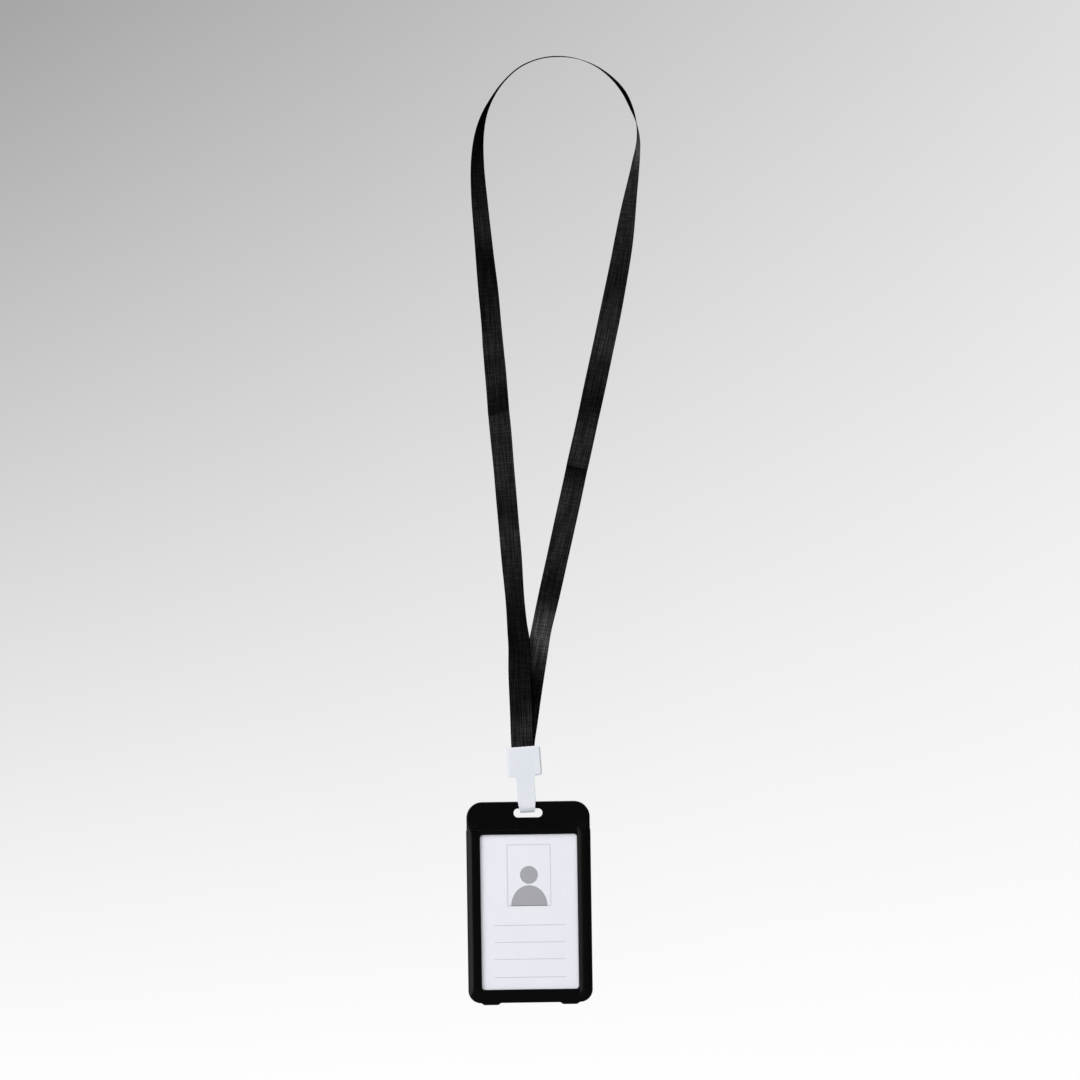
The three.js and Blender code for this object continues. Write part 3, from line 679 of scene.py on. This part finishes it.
def strip(name, path, widths, thickness, rim):
    """A flat strip with rounded edges along a path of (y, z), with a half width at each point."""
    path = np.array(path)
    tangent = np.gradient(path, axis=0)
    tangent /= np.linalg.norm(tangent, axis=1)[:, None]
    normal = np.stack([-tangent[:, 1], tangent[:, 0]], 1)
    corner = [(rim * math.cos(a), rim * math.sin(a)) for a in np.linspace(0, math.pi / 2, 5)]
    vertices = []
    for (y, z), (ny, nz), half in zip(path, normal, widths):
        section = [(half - rim + a, thickness / 2 - rim + b) for a, b in corner]
        section += [(-u, v) for u, v in section[::-1]]
        section += [(-u, -v) for u, v in section]
        vertices += [(u, y + ny * v, z + nz * v) for u, v in section]
    return new_object(name, vertices, grid_faces(len(path), len(section)))


def bend_path(start, end, steps):
    """Points round the bend at the tongue's middle, from start to end in degrees."""
    return arc((0, 0), TONGUE_MIDDLE, start, end, steps)


def make_clip_front(material):
    """The front shell with the tongue's front leg and the bend under the case's bar."""
    shell = clip_box()
    front_wall, overlap, past = 0.0012, 0.0012, 0.002
    inside = CLIP_HALF_WIDTH - CLIP_WALL
    cavity = box_between("cavity", (-inside, inside), (CLIP_FRONT + front_wall, past),
                         (CLIP_BOTTOM + CLIP_WALL, CLIP_TOP - CLIP_WALL))
    mouth = box_between("mouth", (-MOUTH_HALF_WIDTH, MOUTH_HALF_WIDTH), (MOUTH_FRONT, past),
                        (CLIP_TOP - 0.003, CLIP_TOP + past))
    combine(shell, [cavity, mouth], "DIFFERENCE")
    fillet = 0.0009
    sunk = 0.00002                  # keeps the leg's face off the box's, so that the union is clean
    heights = np.linspace(CLIP_BOTTOM + overlap, 0.0, 40)
    path = [(-TONGUE_MIDDLE + sunk, z) for z in heights] + bend_path(180, SEAM_ANGLE, 26)[1:]
    widths = []
    for _, z in path:
        near_box = max(0.0, min(1.0, (z - CLIP_BOTTOM + fillet) / fillet))
        widths.append(tongue_half_width(z) + fillet * (1 - math.sqrt(1 - near_box ** 2)))
    leg = strip("leg", path, widths, TONGUE_OUTER - TONGUE_INNER, TONGUE_RIM)
    combine(shell, [leg], "UNION")
    shell.name = "clip_front"
    finish_piece(shell, CLIP_FRAME, material, "lanyard", ["clip_front_shell"])


def make_clip_lid(material):
    """The rear shell and its snap stud."""
    lid = plate("clip_lid", clip_loop(), CLIP_LID_FRONT, CLIP_BACK, 0.0003)
    rings = [[(x, y, z) for x, z in circle_loop((0, STUD_HEIGHT), radius)] for radius, y in STUD_PROFILE]
    stud = new_object("stud", [p for ring in rings for p in ring], grid_faces(len(rings), len(rings[0])))
    combine(lid, [stud], "UNION")
    finish_piece(lid, CLIP_FRAME, material, "lanyard", ["clip_rear_shell"])


def make_tongue(material):
    """The hinged rear leg with its snap hole and finger grip; it bends at the rear of the loop."""
    top = STUD_HEIGHT + TONGUE_HALF_WIDTH
    fine_top = 0.004                # the steps are finer below it, where the hinge bends
    round_end = 0.92 * math.pi / 2  # just short of the tip, which would close to a line
    heights = [*np.linspace(0, fine_top, 18)[1:], *np.linspace(fine_top, STUD_HEIGHT, 16)[1:]]
    path = bend_path(SEAM_ANGLE - 1, 360, 14) + [(TONGUE_MIDDLE, z) for z in heights]
    widths = [tongue_half_width(z) for _, z in path]
    for a in np.linspace(0, round_end, 18)[1:]:
        path.append((TONGUE_MIDDLE, STUD_HEIGHT + TONGUE_HALF_WIDTH * math.sin(a)))
        widths.append(TONGUE_HALF_WIDTH * math.cos(a))
    tongue = strip("tongue", path, widths, TONGUE_OUTER - TONGUE_INNER, TONGUE_RIM)
    grip_loop = rounded_loop(0.0024, top - 0.0020, top - 0.0010, 0.0004, 0.0004, (4, 6, 4))
    grip = plate("grip", grip_loop, TONGUE_OUTER - 0.0003, TONGUE_OUTER + 0.0006, 0.0003)
    combine(tongue, [grip], "UNION")
    hole_radius, past = 0.0021, 0.001
    hole = plate("hole", circle_loop((0, STUD_HEIGHT), hole_radius), TONGUE_INNER - past, TONGUE_OUTER + past)
    combine(tongue, [hole], "DIFFERENCE")
    finish_piece(tongue, CLIP_FRAME, material, None, ["tongue_flap"])
    apply_modifiers(tongue)
    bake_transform(tongue)


# ---------- case, measured from the middle of its bar ----------

COVER_LOW, COVER_HIGH = (corner - CASE_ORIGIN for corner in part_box("front_cover"))
CARD_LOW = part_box("id_card")[0] - CASE_ORIGIN
CASE_HALF_WIDTH = (COVER_HIGH.x - COVER_LOW.x) / 2
CASE_BACK = COVER_HIGH.y
CASE_TOP = 0.00175
COVER_TOP = COVER_HIGH.z
FOOT_HEIGHT = 0.0010
CASE_FLOOR = COVER_LOW.z + FOOT_HEIGHT
CASE_TOP_CORNER = 0.008
CASE_BOTTOM_CORNER = 0.0064
PLAIN_LEVEL = -0.00195
RIDGE_LEVEL = COVER_LOW.y
BAR_LEVEL = 0.0015
BLOCK_BOTTOM = COVER_TOP + 0.00005
BLOCK_HALF_WIDTH = 0.03095
BLOCK_BACK = 0.0026
SLOT_TOP = -0.00175
SLOT_FOOT = -0.0062
SLOT_HALF_LENGTH = 0.0072
WINDOW_HALF_WIDTH = 0.0243
WINDOW_TOP = -0.01475
WINDOW_BOTTOM = -0.0924
WINDOW_CORNER = 0.0015
WINDOW_BORDER = 0.0003           # the plain strip between the window and the rail's inner slope
RIDGE_X = WINDOW_HALF_WIDTH + 0.0037
OUTER_SLOPE = 0.40               # how the rail falls away outside its ridge, and how that steepens per metre
OUTER_CURVE = 30
SHOULDER_BOTTOM = -0.0155
FOOT_EASE_TOP = 0.008            # above the floor, where the front starts to fall back, and over what height
FOOT_EASE = 0.006
BACK_STEP_HEIGHT = 0.0045        # over which the block's rear face steps back below the slot
RAIL_FOOT_ROUNDING = 0.00012     # how far the front's surfaces blend into each other
RIDGE_ROUNDING = 0.0004
SHOULDER_ROUNDING = 0.0003
COVER_WALL = 0.0013
COVER_CEILING = -0.0013
LIP_FRONT = 0.00165
LIP_INNER_X = 0.0266
LIP_TOP = -0.0955
TRAY_FRONT = 0.0002
TRAY_RAIL_BACK = 0.0015
TRAY_HALF_WIDTH = 0.02945
PANEL_HALF_WIDTH = 0.0262
GUIDE_FRONT = -0.00095           # of the card's side guides and the ledge it stands on
GUIDE_BACK = 0.0003
GUIDE_X = 0.0279
GUIDE_HALF_WIDTH = 0.0007
LEDGE_HALF_WIDTH = 0.020
LEDGE_HEIGHT = 0.0006
LEDGE_GAP = 0.00015
FRAME_STEPS = (64, 14, 60)


def case_front(x, z):
    """The front face's level: a crowned rail at each side, a shoulder below the slot, and a soft foot."""
    x = np.abs(x)
    climb = (x - WINDOW_HALF_WIDTH - WINDOW_BORDER) / (RIDGE_X - WINDOW_HALF_WIDTH - WINDOW_BORDER)
    swell = 0.5 * np.clip(climb, 0, 1) * (1 - np.clip(climb, 0, 1))
    inner = PLAIN_LEVEL + (RIDGE_LEVEL - PLAIN_LEVEL) * (climb + swell)
    outer = RIDGE_LEVEL + OUTER_SLOPE * (x - RIDGE_X) + OUTER_CURVE * np.maximum(x - RIDGE_X, 0) ** 2
    rails = smooth_min(np.full_like(x, PLAIN_LEVEL), inner, RAIL_FOOT_ROUNDING)
    rails = smooth_max(rails, outer, RIDGE_ROUNDING)
    shoulder = -BAR_LEVEL + (RIDGE_LEVEL + BAR_LEVEL) * ease((SLOT_FOOT - z) / (SLOT_FOOT - SHOULDER_BOTTOM))
    foot = RIDGE_LEVEL + (PLAIN_LEVEL - RIDGE_LEVEL) * ease((CASE_FLOOR + FOOT_EASE_TOP - z) / FOOT_EASE)
    return smooth_max(rails, smooth_max(shoulder, foot, SHOULDER_ROUNDING), SHOULDER_ROUNDING)


def block_back(x, z):
    """The top block's rear face: thin at the bar, stepping back below the slot."""
    return BAR_LEVEL + (BLOCK_BACK - BAR_LEVEL) * ease((SLOT_FOOT - z) / BACK_STEP_HEIGHT)


def with_feet(loop):
    """The case outline with its two shallow feet."""
    x, z = loop.T
    foot_middle, foot_half, foot_slope = 0.0198, 0.0035, 0.0015
    rise = np.clip((foot_half + foot_slope - np.abs(np.abs(x) - foot_middle)) / foot_slope, 0, 1)
    on_floor = z < CASE_FLOOR + 1e-6
    return np.stack([x, np.where(on_floor, z - FOOT_HEIGHT * ease(rise), z)], 1)


def case_loop(half_width, inset_by, top):
    """The case's outline, drawn in by a wall, with nearly square corners at the top."""
    corner = CASE_BOTTOM_CORNER - inset_by
    return rounded_loop(half_width, CASE_FLOOR + inset_by, top, corner, 0.0005, FRAME_STEPS)


def window_loop(grow=0.0):
    return rounded_loop(WINDOW_HALF_WIDTH + grow, WINDOW_BOTTOM - grow, WINDOW_TOP + grow,
                        WINDOW_CORNER, WINDOW_CORNER, FRAME_STEPS)


def make_cover(material):
    """The sliding front: a frame round the window, with side walls and rear lips that hold the tray."""
    outer = rounded_loop(CASE_HALF_WIDTH, CASE_FLOOR, CASE_TOP, CASE_BOTTOM_CORNER, CASE_TOP_CORNER,
                         FRAME_STEPS)
    cover = holed_plate("case_cover", with_feet(outer), window_loop(), case_front, level(CASE_BACK),
                        0.0008, 0.0002, 26)
    wide, above = 0.04, 0.01
    top_cut = box_between("top_cut", (-wide, wide), (-above, above), (COVER_TOP, CASE_TOP + above))
    channel = plate("channel", case_loop(CASE_HALF_WIDTH - COVER_WALL, COVER_WALL, COVER_TOP + above),
                    COVER_CEILING, LIP_FRONT)
    opening = plate("opening", rounded_loop(LIP_INNER_X, LIP_TOP, COVER_TOP + above, 0.001, 0.001),
                    LIP_FRONT - 0.0001, CASE_BACK + above)
    combine(cover, [top_cut, channel, opening], "DIFFERENCE")
    finish_piece(cover, CASE_FRAME, material, "cover", ["front_cover"])


def make_tray(material):
    """The rear part: the block with the strap slot, and the rails and back panel that carry the card."""
    spare = 0.008                   # of the block, below its bottom edge, cut off once its faces are shaped
    block_outer = rounded_loop(BLOCK_HALF_WIDTH, BLOCK_BOTTOM - spare, CASE_TOP, 0.002, CASE_TOP_CORNER,
                               FRAME_STEPS)
    slot_radius = (SLOT_TOP - SLOT_FOOT) / 2 - 0.0001
    slot = rounded_loop(SLOT_HALF_LENGTH, SLOT_FOOT, SLOT_TOP, slot_radius, slot_radius, FRAME_STEPS)
    tray = holed_plate("case_back", block_outer, slot, case_front, block_back, 0.0007, 0.0004, 40)
    far = 0.04
    below = box_between("below", (-far, far), (-far, far), (BLOCK_BOTTOM - far, BLOCK_BOTTOM))
    combine(tray, [below], "DIFFERENCE")
    tray_top = BLOCK_BOTTOM + 0.0004        # into the block, so that they join
    rails_outer = case_loop(TRAY_HALF_WIDTH, CASE_HALF_WIDTH - TRAY_HALF_WIDTH, tray_top)
    rails = holed_plate("rails", rails_outer, window_loop(), level(TRAY_FRONT), level(TRAY_RAIL_BACK),
                        0.0002, 0.0002, 3)
    lip_clearance, off = 0.0004, 0.0001     # off keeps faces from coinciding, so that the union is clean
    panel_outer = rounded_loop(PANEL_HALF_WIDTH, LIP_TOP + lip_clearance, tray_top - off, 0.0006, 0.0006,
                               FRAME_STEPS)
    panel = holed_plate("panel", panel_outer, window_loop(off), level(TRAY_RAIL_BACK - off),
                        level(BLOCK_BACK), 0.0003, 0.0004, 3)
    depth = (GUIDE_FRONT, GUIDE_BACK)
    guide_rim = 0.0001
    ledge_top = CARD_LOW.z - LEDGE_GAP
    guides = [box_between("ledge", (-LEDGE_HALF_WIDTH, LEDGE_HALF_WIDTH), depth,
                          (ledge_top - LEDGE_HEIGHT, ledge_top), guide_rim)]
    for side in (-1, 1):
        middle = side * GUIDE_X
        guides.append(box_between("guide", (middle - GUIDE_HALF_WIDTH, middle + GUIDE_HALF_WIDTH), depth,
                                  (WINDOW_BOTTOM, tray_top - 2 * off), guide_rim))
    combine(tray, [rails, panel, *guides], "UNION")
    finish_piece(tray, CASE_FRAME, material, "case", ["case_tray"])


# ---------- what is printed on the card ----------

INK = 0.00004                    # how far the print stands on the card
PHOTO_HALF_WIDTH = 0.0110
PHOTO_HEIGHT = 0.0310
PHOTO_TOP = WINDOW_TOP - 0.0049
PHOTO_FRAME = 0.0004             # the width of the picture box's own line
HEAD_RADIUS = 0.0045
HEAD_DROP = 0.0154               # of its middle, below the picture box's top
SHOULDER_HALF_WIDTH = 0.0091
SHOULDER_HEIGHT = 0.0104
LINE_HALF_WIDTH = 0.01785
LINE_HALF_HEIGHT = 0.0002
LINE_DROPS = (0.0455, 0.0540, 0.0625, 0.0716)           # below the window's top


def printed(name, obj, material):
    obj.name = name
    finish_piece(obj, CASE_FRAME, material, "case")


def ink_plate(name, loop, material):
    """A patch of ink that stands a little in front of the card and reaches into it."""
    printed(name, plate(name, loop, CARD_LOW.y - INK, CARD_LOW.y + INK / 2), material)


def make_print(line_ink, figure_ink):
    """A generic card layout: a picture box with a plain head-and-shoulders sign, and four blank lines."""
    photo_bottom = PHOTO_TOP - PHOTO_HEIGHT
    corner, steps = 0.0001, (8, 4, 8)
    outer = rounded_loop(PHOTO_HALF_WIDTH, photo_bottom, PHOTO_TOP, corner, corner, steps)
    inner = rounded_loop(PHOTO_HALF_WIDTH - PHOTO_FRAME, photo_bottom + PHOTO_FRAME, PHOTO_TOP - PHOTO_FRAME,
                         corner, corner, steps)
    box = holed_plate("photo_box", outer, inner, level(CARD_LOW.y - INK), level(CARD_LOW.y + INK / 2),
                      INK / 4, INK / 4, 2)
    printed("card_photo_box", box, line_ink)
    ink_plate("card_head", circle_loop((0, PHOTO_TOP - HEAD_DROP), HEAD_RADIUS), figure_ink)
    shoulders = [(SHOULDER_HALF_WIDTH * math.cos(a), photo_bottom + SHOULDER_HEIGHT * math.sin(a))
                 for a in np.linspace(0, math.pi, 49)]
    ink_plate("card_shoulders", np.array(shoulders), figure_ink)
    for i, drop in enumerate(LINE_DROPS):
        z = WINDOW_TOP - drop
        loop = rounded_loop(LINE_HALF_WIDTH, z - LINE_HALF_HEIGHT, z + LINE_HALF_HEIGHT, 0.00005, 0.00005,
                            (6, 2, 2))
        ink_plate(f"card_line_{i + 1}", loop, line_ink)


def finish_flat_nodes(card, film):
    """The card and the two windows stay as the CAD made them, with a better material."""
    for name, material, slot in (("id_card", card, "card_stock"), ("front_window", film, "clear_film"),
                                 ("rear_window", film, "clear_film")):
        node = frame["nodes"][name]
        node.material_slots[0].material = material


# ---------- stage ----------

FLOOR_LEVEL = -0.94
WALL_Y = 7.0
WALL_TOP = FLOOR_LEVEL + 6
CORNER_PAINTED_SHADE = 0.357   # how much painted shade dims the wall's glow at its upper left
STAGE_REACH = 9.0
STAGE_BEND = 1.2
FLOOR_PAINTED_SHADE = 0.28     # how much more painted shade dims the floor's glow under and in front of the object than at the wall


def stage_look():
    """A pale sweep that glows by itself, with painted shade that dims it towards the upper left; the lamps
    don't light it.
    """
    look = Look("pale_sweep")
    place = look.node("SeparateXYZ", {"Vector": look.place()})
    width = SENSOR_WIDTH / CAMERA_LENS * (CAMERA_DISTANCE + WALL_Y)      # of the wall, in the front view
    left, top = AIM.x - width / 2, AIM.z + width / 2

    def fade(value, start, end, low, high, **settings):
        inputs = {"Value": value, "From Min": start, "From Max": end, "To Min": low, "To Max": high}
        return look.node("MapRange", inputs, **settings).outputs[0]

    # painted shade over the glow: dimmer towards the upper left, and on the floor near the object
    rightwards = fade(place.outputs["X"], left, left + width, 1.0, 0.47)
    downwards = fade(place.outputs["Z"], top, top - width, 1.0, 0.0)
    corner = look.math("POWER", look.math("MULTIPLY", rightwards, downwards), 1.2)
    painted_shade = look.math("MULTIPLY", corner, CORNER_PAINTED_SHADE)
    nearer = fade(place.outputs["Y"], -1.0, 1.5, FLOOR_PAINTED_SHADE, 0.0, interpolation_type="SMOOTHSTEP")
    painted_shade = look.math("ADD", painted_shade, nearer)
    mottle = look.span(look.noise(look.place(), 3.0), -0.003, 0.003)
    level_out = look.math("POWER", look.math("ADD", look.math("SUBTRACT", 1.0, painted_shade), mottle), 2.2)
    shown = look.node("CombineColor", {"Red": level_out, "Green": level_out, "Blue": level_out}).outputs[0]
    look.set(Base_Color=(0, 0, 0, 1), Roughness=1.0, Specular_IOR_Level=0.0, Emission_Color=shown,
             Emission_Strength=1.0)
    return look.material


def make_stage():
    """A wide floor that sweeps up into a wall well behind the object."""
    profile = [(-STAGE_REACH, FLOOR_LEVEL), (0, FLOOR_LEVEL)]
    profile += [(WALL_Y - STAGE_BEND + y, z)
                for y, z in arc((0, FLOOR_LEVEL + STAGE_BEND), STAGE_BEND, -90, 0, 16)]
    profile.append((WALL_Y, WALL_TOP))
    vertices = [(x, y, z) for y, z in profile for x in (-STAGE_REACH, STAGE_REACH)]
    mesh = bpy.data.meshes.new("sweep")
    faces = [(2 * i, 2 * i + 1, 2 * i + 3, 2 * i + 2) for i in range(len(profile) - 1)]
    mesh.from_pydata(vertices, [], faces)
    mesh.shade_smooth()
    sweep = bpy.data.objects.new("sweep", mesh)
    bpy.context.scene.collection.objects.link(sweep)
    sweep.data.materials.append(stage_look())


def area_light(name, size, power, azimuth, elevation, distance):
    """A square soft light that faces the object: its side in metres, watts, and its direction in degrees."""
    data = bpy.data.lights.new(name, "AREA")
    data.size = size
    data.energy = power
    light = bpy.data.objects.new(name, data)
    bpy.context.scene.collection.objects.link(light)
    a, e = math.radians(azimuth), math.radians(elevation)
    away = Vector((math.sin(a) * math.cos(e), -math.cos(a) * math.cos(e), math.sin(e)))
    light.location = AIM + away * distance
    light.rotation_euler = away.to_track_quat("Z", "Y").to_euler()
    light.visible_camera = False


def make_lights():
    area_light("key", 1.5, 40, -56, 2, 2.0)
    area_light("front_fill", 2.6, 50, 28, 50, 3.0)
    area_light("rear_soft", 2.2, 60, 165, 40, 3.2)
    area_light("floor_bounce", 1.2, 0.35, 15, -38, 0.95)
    world = bpy.data.worlds.new("studio")
    world.use_nodes = True
    world.node_tree.nodes["Background"].inputs["Color"].default_value = (0.18, 0.18, 0.184, 1)
    bpy.context.scene.world = world
    bpy.context.scene.view_settings.view_transform = "Standard"


# ---------- the scene ----------

make_camera()
ribbon = ribbon_look()
white_plastic = white_plastic_look()
black_plastic = black_plastic_look()
make_strap(ribbon)
make_clip_front(white_plastic)
make_clip_lid(white_plastic)
make_tongue(white_plastic)
make_cover(black_plastic)
make_tray(black_plastic)
finish_flat_nodes(card_look(), film_look())
make_print(ink_look("pale_line_ink", (0.52, 0.51, 0.60), (0.58, 0.57, 0.66)),
           ink_look("grey_figure_ink", (0.266, 0.267, 0.286), (0.295, 0.296, 0.316)))
make_stage()
make_lights()
